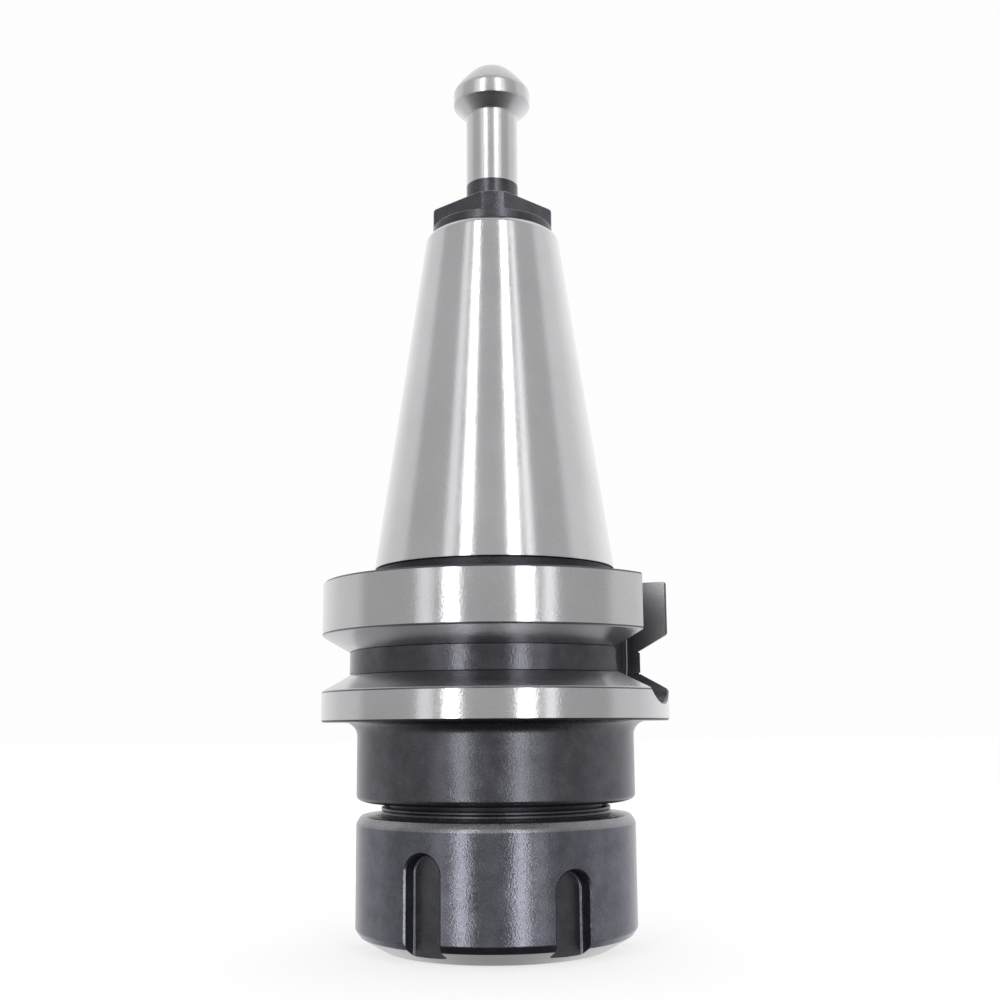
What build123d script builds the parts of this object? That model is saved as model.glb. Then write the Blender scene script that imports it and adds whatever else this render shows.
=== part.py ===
from build123d import *
import os
from math import radians, tan

# Collet chuck tool holder with a steep 7/24 taper, size 40. Lengths in mm, angles in degrees.
# It stands on the face of its clamping nut, with the pull stud up. The origin is the centre of
# that face, +Z runs up the axis, and the two drive slots lie along +X and -X.

# Clamping nut, whose back rises inside its chamfer as a shallow crown to the threaded mouth
nut_diameter = 50.0
nut_face_diameter = 39.8
nut_face_cone_height = 2.5
nut_rim_inset = 0.8
nut_rim_height = 1.2
nut_top_chamfer = 0.9
nut_top_chamfer_height = 1.1
nut_crown_rise = 1.5

# Spanner slots round the nut, which alternate between a long and a short one
slot_count = 6
slot_width = 6.6
slot_floor_radius = 22.0
slot_long_height = 17.8
slot_short_height = 15.1
slot_turn = 21.9

# Threaded nose of the holder, which the nut screws on
thread_diameter = 40.0
thread_engagement = 13.3
thread_clearance = 0.1
neck_diameter = 38.2
neck_height = 1.0
nut_gap = 0.9

# Body between the nose and the flange
body_diameter = 50.0
body_length = 14.0
body_corner_chamfer = 1.4
body_top_flare = 1.8

# Gripper flange with its V groove
flange_diameter = 63.0
flange_thickness = 25.0
gauge_to_flange = 2.0
gauge_to_groove = 16.6
groove_width = 10.0
groove_depth = 5.0
groove_half_angle = 30.0

# Drive slots in the flange
drive_slot_width = 16.1
drive_slot_floor = 22.6
gauge_to_slot_end = 24.0

# Spindle taper, from the gauge plane up
gauge_diameter = 44.45
taper_per_length = 7 / 24
taper_length = 65.4
taper_foot_rise = 0.6
taper_foot_diameter = 43.0
taper_end_chamfer = 1.2
taper_end_chamfer_length = 1.5

# Pull stud, measured from its seat on the small end of the taper
stud_height = 35.0
stud_flange_diameter = 23.0
stud_flange_thickness = 5.3
stud_ring_thickness = 1.8
stud_across_flats = 19.0
stud_flat_count = 4
stud_neck_diameter = 10.0
stud_head_diameter = 15.0
stud_head_cone_rise = 25.0
stud_head_rim_rise = 30.3
stud_crown_diameter = 6.8
stud_thread_diameter = 16.0
stud_thread_length = 25.0
stud_thread_clearance = 0.05
stud_corner_turn = -68.0

# Hole for the pull stud, and the way through to the collet socket
stud_hole_depth = 30.0
through_hole_diameter = 10.0
relief_bore_diameter = 22.0
relief_bore_length = 20.0
drill_point_half_angle = 59.0

# Collet, measured from its front face
collet_recess = 0.5
collet_length = 40.0
collet_diameter = 33.0
collet_rim_step = 1.0
collet_rim_land = 0.6
collet_seat_height = 3.5
collet_groove_depth = 1.3
collet_groove_width = 2.6
collet_stand_out = 3.8
collet_bore = 12.0
collet_half_angle = 8.0
collet_seat_half_angle = 30.0
collet_slit_count = 8
collet_slit_width = 0.8
collet_slit_front_web = 7.0
collet_slit_back_web = 5.5

# Collet socket in the nose, and the nut's grip on the collet
socket_clearance = 0.05
socket_run_out = 1.5
seat_clearance = 0.15
ring_thickness = 1.6
ring_play = 0.35
ring_eccentricity = 0.35
ring_radial_gap = 0.7
ring_root = 0.7
nut_cavity_play = 0.7
nut_bore_run_out = 2.4

# How far a cutter runs on past the face that it opens
cutter_overrun = 1.0

# Radii of the collet's front end, and of the nut's pocket round it
seat_slope = tan(radians(collet_seat_half_angle))
collet_slope = tan(radians(collet_half_angle))
collet_rim_radius = collet_diameter / 2 - collet_rim_step
collet_front_radius = collet_rim_radius - collet_seat_height * seat_slope
collet_groove_radius = collet_rim_radius - collet_groove_depth
pocket_radius = collet_rim_radius + 2 * seat_clearance

# Heights, which stack up from the face of the nut
collet_front = collet_recess
collet_rim_bottom = collet_front + collet_seat_height
collet_groove_bottom = collet_rim_bottom + collet_rim_land
collet_shoulder = collet_groove_bottom + collet_groove_width
collet_back = collet_front + collet_length
ring_bottom = collet_groove_bottom + ring_play
ring_top = ring_bottom + ring_thickness
nose_face = collet_shoulder + collet_stand_out
socket_top = collet_back + socket_run_out
relief_top = socket_top + relief_bore_length
nut_top = nose_face + thread_engagement
nut_shoulder = nut_top - nut_crown_rise
body_bottom = nut_top + nut_gap
flange_bottom = body_bottom + body_length
flange_top = flange_bottom + flange_thickness
gauge_plane = flange_top + gauge_to_flange
groove_centre = gauge_plane - gauge_to_groove
taper_top = gauge_plane + taper_length
stud_seat = taper_top


def turned(section):
    """Solid of revolution about the axis, from a half section drawn as (radius, height)."""
    return revolve(Plane.XZ * section, Axis.Z)


def section_of(points):
    """Half section with straight sides, from its corners as (radius, height)."""
    return make_face(Polyline(points, close=True))


def cone_radius(height):
    """Radius of the spindle taper at a height."""
    return (gauge_diameter - (height - gauge_plane) * taper_per_length) / 2


def collet_radius(height):
    """Radius of the collet's long taper at a height."""
    return collet_diameter / 2 - (height - collet_shoulder) * collet_slope


def socket_radius(height):
    """Radius of the socket at a height, a clearance outside the collet."""
    return collet_radius(height) + socket_clearance


def round_ended_slot(width, end_height, open_height):
    """Slot outline on the XY plane: a round end at end_height and an open end at open_height."""
    inwards = 1 if open_height > end_height else -1
    centre = end_height + inwards * width / 2
    straight = Pos(0, (centre + open_height) / 2) * Rectangle(width, abs(open_height - centre))
    return straight + Pos(0, centre) * Circle(width / 2)


def slot_cutter(outline, floor_radius, outer_radius):
    """Cutter for a flat-floored slot that faces +X and runs out through a round outside."""
    reach = outer_radius - floor_radius + cutter_overrun
    return extrude(Plane.YZ.offset(floor_radius) * outline, reach)


def holder_outline():
    """Half section of the holder's solid form, without its bores."""
    groove_slope = tan(radians(groove_half_angle))
    flank_height = groove_depth * groove_slope
    low_edge = groove_centre - groove_width / 2
    high_edge = groove_centre + groove_width / 2
    flange_radius = flange_diameter / 2
    floor_radius = flange_radius - groove_depth
    thread_radius = thread_diameter / 2
    neck_radius = neck_diameter / 2
    body_radius = body_diameter / 2
    foot_height = gauge_plane + taper_foot_rise
    foot_radius = taper_foot_diameter / 2
    neck_bottom = body_bottom - neck_height
    taper_end = taper_top - taper_end_chamfer_length
    return section_of([
        (0, nose_face),
        (thread_radius, nose_face),
        (thread_radius, neck_bottom),
        (neck_radius, neck_bottom),
        (neck_radius, body_bottom),
        (body_radius - body_corner_chamfer, body_bottom),
        (body_radius, body_bottom + body_corner_chamfer),
        (body_radius, flange_bottom - body_top_flare),
        (body_radius + body_top_flare, flange_bottom),
        (flange_radius, flange_bottom),
        (flange_radius, low_edge),
        (floor_radius, low_edge + flank_height),
        (floor_radius, high_edge - flank_height),
        (flange_radius, high_edge),
        (flange_radius, flange_top),
        (foot_radius, flange_top),
        (foot_radius, foot_height),
        (cone_radius(foot_height), foot_height),
        (cone_radius(taper_end), taper_end),
        (cone_radius(taper_top) - taper_end_chamfer, taper_top),
        (0, taper_top),
    ])


def stud_hole():
    """Plain thread hole for the stud, and the way on down to the relief bore."""
    hole_radius = stud_thread_diameter / 2 + stud_thread_clearance
    way_radius = through_hole_diameter / 2
    hole_bottom = taper_top - stud_hole_depth
    point_height = (hole_radius - way_radius) / tan(radians(drill_point_half_angle))
    return turned(section_of([
        (0, taper_top),
        (hole_radius, taper_top),
        (hole_radius, hole_bottom),
        (way_radius, hole_bottom - point_height),
        (way_radius, relief_top),
        (0, relief_top),
    ]))


def collet_socket():
    """Tapered socket, relief bore and drill point, open at the nose face."""
    bore_radius = relief_bore_diameter / 2
    way_radius = through_hole_diameter / 2
    point_height = (bore_radius - way_radius) / tan(radians(drill_point_half_angle))
    return turned(section_of([
        (0, nose_face),
        (socket_radius(nose_face), nose_face),
        (socket_radius(socket_top), socket_top),
        (bore_radius, socket_top),
        (bore_radius, relief_top),
        (way_radius, relief_top + point_height),
        (0, relief_top + point_height),
    ]))


def drive_slots():
    """Cutters for the two drive slots, which run out of the flange's top face."""
    slot_end = gauge_plane - gauge_to_slot_end
    outline = round_ended_slot(drive_slot_width, slot_end, flange_top + cutter_overrun)
    return PolarLocations(0, 2) * slot_cutter(outline, drive_slot_floor, flange_diameter / 2)


def holder_body():
    """Taper, flange, body and threaded nose, turned from one bar."""
    return turned(holder_outline()) - stud_hole() - collet_socket() - drive_slots()


def stud_outline():
    """Half section of the pull stud, from its thread to its crown."""
    seat = stud_seat
    flange_radius = stud_flange_diameter / 2
    neck_radius = stud_neck_diameter / 2
    head_radius = stud_head_diameter / 2
    crown_radius = stud_crown_diameter / 2
    thread_radius = stud_thread_diameter / 2
    flange_top_height = seat + stud_flange_thickness
    cone_bottom = seat + stud_head_cone_rise
    cone_top = cone_bottom + head_radius - neck_radius
    thread_bottom = seat - stud_thread_length
    return section_of([
        (0, seat + stud_height),
        (0, thread_bottom),
        (thread_radius, thread_bottom),
        (thread_radius, seat),
        (flange_radius, seat),
        (flange_radius, flange_top_height),
        (neck_radius, flange_top_height),
        (neck_radius, cone_bottom),
        (head_radius, cone_top),
        (head_radius, seat + stud_head_rim_rise),
        (crown_radius, seat + stud_height),
    ])


def pull_stud():
    """Pull stud, with wrench flats that stop above a full ring at its seat."""
    ring_top = stud_seat + stud_ring_thickness
    flats_height = stud_flange_thickness - stud_ring_thickness
    disc = Circle(stud_flange_diameter)
    flats = RegularPolygon(
        stud_across_flats / 2, stud_flat_count, major_radius=False, rotation=stud_corner_turn
    )
    waste = Pos(0, 0, ring_top) * extrude(disc - flats, flats_height)
    return turned(stud_outline()) - waste


def nut_outline():
    """Half section of the nut: face, wrenching cylinder, threaded bore and collet seat."""
    nut_radius = nut_diameter / 2
    thread_radius = thread_diameter / 2 + thread_clearance
    mouth_radius = collet_front_radius + seat_clearance
    cavity_radius = collet_diameter / 2 + nut_cavity_play
    seat_top = collet_front + (pocket_radius - mouth_radius) / seat_slope
    bore_bottom = nose_face - nut_bore_run_out
    return section_of([
        (mouth_radius, 0),
        (nut_face_diameter / 2, 0),
        (nut_radius - nut_rim_inset, nut_face_cone_height),
        (nut_radius, nut_face_cone_height + nut_rim_height),
        (nut_radius, nut_shoulder - nut_top_chamfer_height),
        (nut_radius - nut_top_chamfer, nut_shoulder),
        (thread_radius, nut_top),
        (thread_radius, bore_bottom),
        (cavity_radius, bore_bottom),
        (cavity_radius, ring_top),
        (pocket_radius, ring_top),
        (pocket_radius, seat_top),
        (mouth_radius, collet_front),
    ])


def extractor_ring():
    """Eccentric ring inside the nut, which draws the collet out by its groove."""
    hole_radius = collet_groove_radius + ring_radial_gap
    ring = Circle(pocket_radius + ring_root) - Pos(ring_eccentricity, 0) * Circle(hole_radius)
    return Pos(0, 0, ring_bottom) * extrude(ring, ring_thickness)


def spanner_slots():
    """Cutters for the nut's slots, long and short by turns, open at the nut's face."""
    cutters = []
    for index in range(slot_count):
        height = slot_short_height if index % 2 else slot_long_height
        outline = round_ended_slot(slot_width, height, -cutter_overrun)
        cutter = slot_cutter(outline, slot_floor_radius, nut_diameter / 2)
        cutters.append(Rot(0, 0, slot_turn + index * 360 / slot_count) * cutter)
    return cutters


def clamping_nut():
    """Slotted nut with its collet seat and extractor ring."""
    return turned(nut_outline()) + extractor_ring() - spanner_slots()


def collet_outline():
    """Half section of the collet: seat cone, extractor groove and long taper round the bore."""
    bore_radius = collet_bore / 2
    return section_of([
        (bore_radius, collet_front),
        (collet_front_radius, collet_front),
        (collet_rim_radius, collet_rim_bottom),
        (collet_rim_radius, collet_groove_bottom),
        (collet_groove_radius, collet_groove_bottom),
        (collet_groove_radius, collet_shoulder),
        (collet_radius(collet_shoulder), collet_shoulder),
        (collet_radius(collet_back), collet_back),
        (bore_radius, collet_back),
    ])


def slits(bottom, top, turn):
    """Thin radial cutters between two heights, spaced round the collet."""
    inner = collet_bore / 4
    blade = Pos((inner + collet_diameter) / 2, 0) * Rectangle(collet_diameter - inner, collet_slit_width)
    cutter = Pos(0, 0, bottom) * extrude(blade, top - bottom)
    return PolarLocations(0, collet_slit_count, start_angle=turn) * cutter


def collet():
    """Spring collet, slit from both ends by turns."""
    half_pitch = 180 / collet_slit_count
    front_web = collet_front + collet_slit_front_web
    back_web = collet_back - collet_slit_back_web
    front_slits = slits(collet_front - cutter_overrun, back_web, 0)
    back_slits = slits(front_web, collet_back + cutter_overrun, half_pitch)
    return turned(collet_outline()) - front_slits - back_slits


def main():
    os.makedirs("parts", exist_ok=True)
    makers = [holder_body, pull_stud, clamping_nut, collet]
    for maker in makers:
        export_step(maker(), f"parts/{maker.__name__}.step")


main()
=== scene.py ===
"""Looks of a collet chuck tool holder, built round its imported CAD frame. Metres, +Z up the axis."""

from math import ceil, cos, hypot, pi, radians, sin, sqrt, tan, tau

import bmesh
import bpy
from mathutils import Matrix, Vector


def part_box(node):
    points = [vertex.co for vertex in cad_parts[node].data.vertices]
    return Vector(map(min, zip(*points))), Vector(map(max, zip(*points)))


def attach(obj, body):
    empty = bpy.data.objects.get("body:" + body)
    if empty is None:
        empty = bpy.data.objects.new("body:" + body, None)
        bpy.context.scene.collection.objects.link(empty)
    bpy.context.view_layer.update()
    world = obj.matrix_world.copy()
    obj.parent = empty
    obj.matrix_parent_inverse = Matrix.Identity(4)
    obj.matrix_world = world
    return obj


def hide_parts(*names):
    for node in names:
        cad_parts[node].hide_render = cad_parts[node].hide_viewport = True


bl_info = {
    "name": "Collet chuck tool holder",
    "version": (1, 0, 0),
    "blender": (4, 5, 0),
    "location": "3D View > Sidebar > Tool holder",
    "description": "Builds the dressed pieces, finishes and studio of a collet chuck tool holder",
    "category": "Object",
}

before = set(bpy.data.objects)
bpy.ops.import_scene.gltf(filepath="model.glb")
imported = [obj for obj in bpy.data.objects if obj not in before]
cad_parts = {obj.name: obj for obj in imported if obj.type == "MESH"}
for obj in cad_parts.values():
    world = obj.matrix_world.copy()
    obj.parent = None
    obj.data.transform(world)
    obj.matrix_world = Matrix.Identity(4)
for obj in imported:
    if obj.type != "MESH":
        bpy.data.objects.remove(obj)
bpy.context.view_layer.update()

MM = 0.001
WELD = 1e-7  # points nearer to each other than this are one

TURN_STEPS = 256  # steps of a full turn about the axis
SLOT_END_STEPS = 96  # steps of a slot's round end, as a full circle
ROUND_STEPS = 8  # steps of the large rounding under the flange

FINE = 0.1 * MM  # fine rounding of a turned corner, and the play in telling faces by their place
SMALL = 0.2 * MM  # small rounding of a turned corner
EASY = 0.3 * MM  # easy rounding of a turned corner
NEAR = 0.15 * MM  # a face this near to a corner takes its edge's worn colour, partly a painted highlight

THREAD_STEPS = 96  # steps of one turn of a thread
RIDGE_BASE = 0.87  # base of a thread ridge as a share of the pitch
RIDGE_CREST = 0.125  # crest of a thread ridge as a share of the pitch
RIDGE_SINK = 0.1  # share of its depth that a ridge is sunk in its wall
NOSE_THREAD_START = 1.2 * MM  # first turn of the nose thread from the nose face
NOSE_THREAD_END = 1.9 * MM  # last turn of the nose thread from the nut's back
NUT_THREAD_START = 1.0 * MM  # first turn of the nut's thread from the end of its bore
NUT_THREAD_END = 1.2 * MM  # last turn of the nut's thread from the nut's back

SOCKET_RUN_OUT = 1.5 * MM  # how far the collet socket runs on behind the collet
DRILL_POINT = 0.6  # depth of a drilled cone as a share of its step in radius
CUTTER_REACH = 4 * MM  # how far a slot cutter stands out of the face that it starts from

SHARP_ANGLE = radians(28)
BREAK_ANGLE = radians(35)

holder_low, holder_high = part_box("holder_body")
stud_low, stud_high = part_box("pull_stud")
nut_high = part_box("clamping_nut")[1]

NUT_TOP = nut_high.z
NUT_RADIUS = nut_high.x
NOSE_FACE = holder_low.z
TAPER_TOP = holder_high.z
FLANGE_RADIUS = holder_high.x
STUD_END = stud_low.z
STUD_TOP = stud_high.z
STUD_FLANGE_RADIUS = stud_high.x
COLLET_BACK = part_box("collet")[1].z


def length(name, description, millimetres):
    """A size that the user can change."""
    return bpy.props.FloatProperty(
        name=name, description=description, default=millimetres * MM, min=0.0, unit="LENGTH", precision=5,
    )


def angle(name, description, degrees):
    """An angle that the user can change."""
    return bpy.props.FloatProperty(
        name=name, description=description, default=radians(degrees), unit="ROTATION",
    )


def colour(name, description, value):
    """A surface colour that the user can change."""
    return bpy.props.FloatVectorProperty(
        name=name, description=description, default=value, size=3, min=0.0, max=1.0, subtype="COLOR",
    )


def level(name, description, value):
    """A brightness that the user can change."""
    return bpy.props.FloatProperty(name=name, description=description, default=value, min=0.0)


def lamp(name, azimuth, width, brightness):
    """An upright lamp that the user can change."""
    return bpy.props.FloatVectorProperty(
        name=name, description="Azimuth from the camera's side in degrees, width in millimetres, brightness",
        default=(azimuth, width, brightness), size=3,
    )


class HolderSizes(bpy.types.PropertyGroup):
    """Sizes of the holder body"""

    nut_gap: length("Nut gap", "Open gap between the nut and the body", 0.9)
    body_radius: length("Body radius", "Radius of the body over the nut", 25.0)
    body_length: length("Body length", "Height of the body up to the flange", 14.0)
    body_chamfer: length("Body chamfer", "Width of the chamfer on the body's lower corner", 1.5)
    body_chamfer_height: length("Body chamfer height", "Height of that chamfer", 0.65)
    body_fillet: length("Body fillet", "Hollow rounding under the flange", 2.5)
    flange_thickness: length("Flange thickness", "Height of the gripper flange", 25.0)
    flange_chamfer: length("Flange chamfer", "Width of the chamfer on the flange's outer edges", 0.35)
    gauge_to_flange: length("Gauge to flange", "From the gauge plane down to the flange", 2.0)
    gauge_to_groove: length("Gauge to groove", "From the gauge plane down to the middle of the groove", 16.6)
    groove_width: length("Groove width", "Width of the V groove at the rim", 10.0)
    groove_depth: length("Groove depth", "Depth of the V groove", 5.0)
    groove_half_angle: angle("Groove flank", "Slope of the groove's flanks from level", 30.0)
    undercut: length("Undercut", "Depth of the fine undercuts at the groove's floor", 0.25)
    undercut_width: length("Undercut width", "Width of those undercuts", 0.3)
    gauge_radius: length("Gauge radius", "Radius of the taper at the gauge plane", 22.225)
    foot_radius: length("Foot radius", "Radius of the relief under the taper", 21.5)
    foot_rise: length("Foot rise", "Height of the taper's foot over the gauge plane", 0.6)
    end_chamfer: length("End chamfer", "Chamfer at the small end of the taper", 0.7)
    end_chamfer_length: length("End chamfer length", "Length of that chamfer along the axis", 0.9)
    slot_width: length("Drive slot width", "Width of a drive slot", 16.1)
    slot_floor: length("Drive slot floor", "Floor of a drive slot from the axis", 22.6)
    gauge_to_slot_end: length("Gauge to slot end", "From the gauge plane down to the slot's round end", 24.0)
    slot_edge: length("Drive slot edge", "Chamfer round a drive slot", 0.3)
    slot_corner: length("Drive slot corner", "Rounding between a slot's wall and floor", 0.4)
    thread_radius: length("Nose thread radius", "Crest radius of the nose thread", 19.95)
    thread_root: length("Nose thread root", "Root radius of the nose thread", 19.1)
    thread_pitch: length("Thread pitch", "Rise of the nose thread in a turn", 1.5)
    socket_radius: length("Socket radius", "Radius of the collet socket at the nose face", 16.016)
    socket_half_angle: angle("Socket half angle", "Slope of the collet socket", 8.0)
    relief_radius: length("Relief radius", "Radius of the bore over the collet", 11.0)
    relief_length: length("Relief length", "Length of the bore over the collet", 20.0)
    way_radius: length("Way radius", "Radius of the hole that runs on up to the stud", 5.0)
    stud_hole_radius: length("Stud hole radius", "Radius of the hole for the stud", 8.05)
    stud_hole_depth: length("Stud hole depth", "Depth of the hole for the stud", 30.0)


class StudSizes(bpy.types.PropertyGroup):
    """Sizes of the pull stud"""

    flange_thickness: length("Flange thickness", "Height of the stud's flange", 5.3)
    ring_thickness: length("Ring thickness", "Full ring under the wrench flats", 1.8)
    half_flats: length("Half across flats", "Half the width across the wrench flats", 9.5)
    flat_turn: angle("Flat turn", "Direction that the first flat faces", -23.0)
    neck_radius: length("Neck radius", "Radius of the stud's neck", 5.0)
    root_fillet: length("Root fillet", "Rounding between neck and flange", 0.7)
    black_rise: length("Black rise", "Height of the blackened part over the seat", 10.7)
    head_radius: length("Head radius", "Radius of the stud's head", 7.5)
    cone_rise: length("Cone rise", "Height of the head's cone over the seat", 25.0)
    rim_rise: length("Rim rise", "Height of the head's upper rim over the seat", 30.3)
    crown_radius: length("Crown radius", "Radius of the flat on top of the head", 3.4)
    crown_bulge: length("Crown bulge", "How far the crown stands out between rim and top", 0.45)
    thread_radius: length("Thread radius", "Radius of the stud's shank in the holder", 8.0)
    edge_break: length("Edge break", "Width of the broken edges round the wrench flats", 0.15)


class NutSizes(bpy.types.PropertyGroup):
    """Sizes of the clamping nut"""

    face_radius: length("Face radius", "Radius of the flat front face", 19.9)
    face_corner: length("Face corner", "Rounding between the front face and its cone", 0.5)
    cone_height: length("Cone height", "Height of the bright front cone", 2.5)
    rim_inset: length("Rim inset", "How far the cone's top lies inside the rim", 0.8)
    rim_height: length("Rim height", "Height of the dark band over the cone", 1.2)
    crown_rise: length("Crown rise", "Rise from the shoulder to the top of the collar", 1.4)
    top_chamfer: length("Top chamfer", "Chamfer on the upper rim", 0.9)
    top_chamfer_height: length("Top chamfer height", "Height of that chamfer", 1.3)
    collar_radius: length("Collar radius", "Radius of the low collar round the threaded mouth", 20.55)
    collar_foot: length("Collar foot", "Rise of the nut's back from the shoulder to that collar", 0.35)
    collar_ring: length("Collar ring", "Width of the fine groove round that collar", 0.35)
    mouth_chamfer: length("Mouth chamfer", "Chamfer at the threaded mouth", 0.3)
    thread_radius: length("Nut thread radius", "Root radius of the nut's thread", 20.1)
    thread_crest: length("Nut thread crest", "Crest radius of the nut's thread", 19.3)
    bore_bottom: length("Bore bottom", "Height where the threaded bore ends", 8.6)
    cavity_radius: length("Cavity radius", "Radius of the room round the collet", 17.2)
    pocket_radius: length("Pocket radius", "Radius of the pocket round the collet's rim", 15.8)
    mouth_radius: length("Face mouth radius", "Radius of the hole in the front face", 13.63)
    lip_height: length("Lip height", "Height of the hole's straight lip", 0.5)
    seat_top: length("Seat top", "Height where the collet seat meets the pocket", 4.26)
    ring_bottom: length("Ring bottom", "Lower face of the extractor ring", 4.95)
    ring_thickness: length("Ring thickness", "Thickness of the extractor ring", 1.6)
    ring_radius: length("Ring radius", "Inner radius of the extractor ring", 14.9)
    ring_offset: length("Ring offset", "How far the ring's hole is off the axis", 0.35)
    slot_count: bpy.props.IntProperty(
        name="Slots", description="Number of spanner slots round the nut", default=6, min=2,
    )
    slot_width: length("Slot width", "Width of a spanner slot", 6.6)
    slot_floor: length("Slot floor", "Floor of a spanner slot from the axis", 22.0)
    slot_long: length("Long slot", "Height of the long slots' round end", 17.8)
    slot_short: length("Short slot", "Height of the short slots' round end", 15.1)
    slot_turn: angle("Slot turn", "Direction that the first slot faces", 21.9)
    slot_edge: length("Slot edge", "Chamfer round a spanner slot", 0.3)
    slot_corner: length("Slot corner", "Rounding between a slot's wall and floor", 0.5)


class Finishes(bpy.types.PropertyGroup):
    """Colours of the finishes, with painted shade and painted highlights among them"""

    ground: colour("Ground steel", "Colour of the ground steel", (0.77, 0.768, 0.785))
    # On the holder's drive slot walls this colour is painted light, paler towards the slots' opening
    satin: colour("Satin steel", "Colour of the groove's flanks and rubbed walls", (0.58, 0.58, 0.6))
    black: colour("Black oxide", "Colour of the blackened body", (0.135, 0.137, 0.155))
    polished_black: colour("Polished black oxide", "Colour of the nut's outside", (0.185, 0.188, 0.222))
    # A darker black: the stud's own black, and painted shade in slots, recesses, the groove's floor and under
    # the body
    deep_black_and_shade: colour("Deep black oxide", "Colour of blackened slots and recesses", (0.115, 0.116, 0.132))
    # Painted shade in the narrow recesses: the nose and neck under the body and the relief under the taper
    recess_shade: colour("Recess black", "Colour of the narrow recesses", (0.06, 0.06, 0.07))
    # Edges worn pale and painted as highlights, and a painted reflection on the nut's back round its collar
    worn_and_sheen: colour("Worn edge", "Colour of edges where the black is rubbed thin", (0.3, 0.3, 0.32))
    nut_face: colour("Nut face", "Colour of the nut's bright front cone", (0.66, 0.66, 0.665))
    spring: colour("Spring steel", "Colour of the collet", (0.42, 0.42, 0.42))


class StudioSettings(bpy.types.PropertyGroup):
    """Camera, floor, surroundings and lamps"""

    camera_place: bpy.props.FloatVectorProperty(
        name="Camera place", description="Where the camera stands", default=(0.08698, -0.22350, 0.03795),
        size=3, subtype="TRANSLATION", unit="LENGTH", precision=5,
    )
    camera_azimuth: angle("Camera azimuth", "Direction from which the camera looks", 21.0)
    camera_pitch: angle("Camera pitch", "How far the camera looks up", 9.985)
    camera_roll: angle("Camera roll", "How far the camera leans", -0.4)
    camera_lens: bpy.props.FloatProperty(
        name="Lens", description="Focal length of the camera", default=46.71, min=1.0, unit="CAMERA",
    )
    floor_radius: length("Floor radius", "Radius of the floor", 4000.0)
    floor_gap: length("Floor gap", "Hair's breadth between the floor and the nut's face", 0.02)
    floor_colour: colour("Floor colour", "Colour of the floor", (0.5, 0.5, 0.5))
    floor_lift: level("Floor lift", "Brightness that the floor has of its own", 0.68)
    background: colour("Background", "Colour behind the object", (0.985, 0.985, 0.985))
    lamp_distance: length("Lamp distance", "Distance of the upright lamps from the axis", 800.0)
    lamp_height: length("Lamp height", "Height of the upright lamps", 1400.0)
    lamp_centre: length("Lamp centre", "Height of the middle of the upright lamps", 330.0)
    left_strip: lamp("Left strip", -27.0, 112.0, 3.0)
    left_panel: lamp("Left panel", -44.0, 150.0, 0.45)
    right_strip: lamp("Right strip", 19.5, 122.0, 3.0)
    right_panel: lamp("Right panel", 35.0, 110.0, 0.7)
    front_azimuth: angle("Front azimuth", "Direction of the darker front from the camera's side", -8.0)
    front_level: level("Front level", "Brightness of the surroundings in front, where 1 is white", 0.42)
    side_level: level("Side level", "Brightness of the surroundings beside the object", 0.62)
    horizon_level: level("Horizon level", "Share of the surroundings' brightness at eye height", 0.93)
    upper_level: level("Upper level", "Share of the surroundings' brightness high up", 1.1)
    under_level: level("Under level", "Brightness of the surroundings straight below, where 1 is white", 0.1)


# Meshes


def outline_edges(bm, corners, closed=True):
    """Draws a half section. A corner is (radius, height), or (radius, height, rounding, steps)."""
    points = [bm.verts.new((radius, 0.0, height)) for radius, height, *_ in corners]
    pairs = list(zip(points, points[1:]))
    if closed:
        pairs.append((points[-1], points[0]))
    for pair in pairs:
        bm.edges.new(pair)
    for point, (_, _, *rounding) in zip(points, corners):
        if rounding:
            bmesh.ops.bevel(
                bm, geom=[point], offset=rounding[0], offset_type="OFFSET", segments=rounding[1],
                profile=0.5, affect="VERTICES", material=-1,
            )


def turned(corners, closed=True):
    """A bmesh turned about the axis from a half section."""
    bm = bmesh.new()
    outline_edges(bm, corners, closed)
    bmesh.ops.spin(
        bm, geom=bm.verts[:] + bm.edges[:], cent=(0, 0, 0), axis=(0, 0, 1), dvec=(0, 0, 0),
        angle=tau, steps=TURN_STEPS, use_merge=True, use_duplicate=False,
    )
    bmesh.ops.remove_doubles(bm, verts=bm.verts[:], dist=WELD)
    bmesh.ops.recalc_face_normals(bm, faces=bm.faces[:])
    return bm


def swing(bm, turn):
    """Turns a bmesh about the axis by an angle."""
    bmesh.ops.rotate(bm, verts=bm.verts[:], cent=(0, 0, 0), matrix=Matrix.Rotation(turn, 3, "Z"))


def to_object(bm, name):
    """Puts a bmesh into a new object of the scene."""
    mesh = bpy.data.meshes.new(name)
    bm.to_mesh(mesh)
    bm.free()
    piece = bpy.data.objects.new(name, mesh)
    bpy.context.scene.collection.objects.link(piece)
    return piece


def cut_out(piece, tools):
    """Cuts the tools out of a piece and removes them."""
    for tool in tools:
        modifier = piece.modifiers.new("Cut", "BOOLEAN")
        modifier.operation = "DIFFERENCE"
        modifier.solver = "EXACT"
        modifier.object = tool
    graph = bpy.context.evaluated_depsgraph_get()
    mesh = bpy.data.meshes.new_from_object(piece.evaluated_get(graph))
    piece.modifiers.clear()
    old = piece.data
    piece.data = mesh
    mesh.name = piece.name
    bpy.data.meshes.remove(old)
    for tool in tools:
        data = tool.data
        bpy.data.objects.remove(tool)
        bpy.data.meshes.remove(data)


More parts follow.
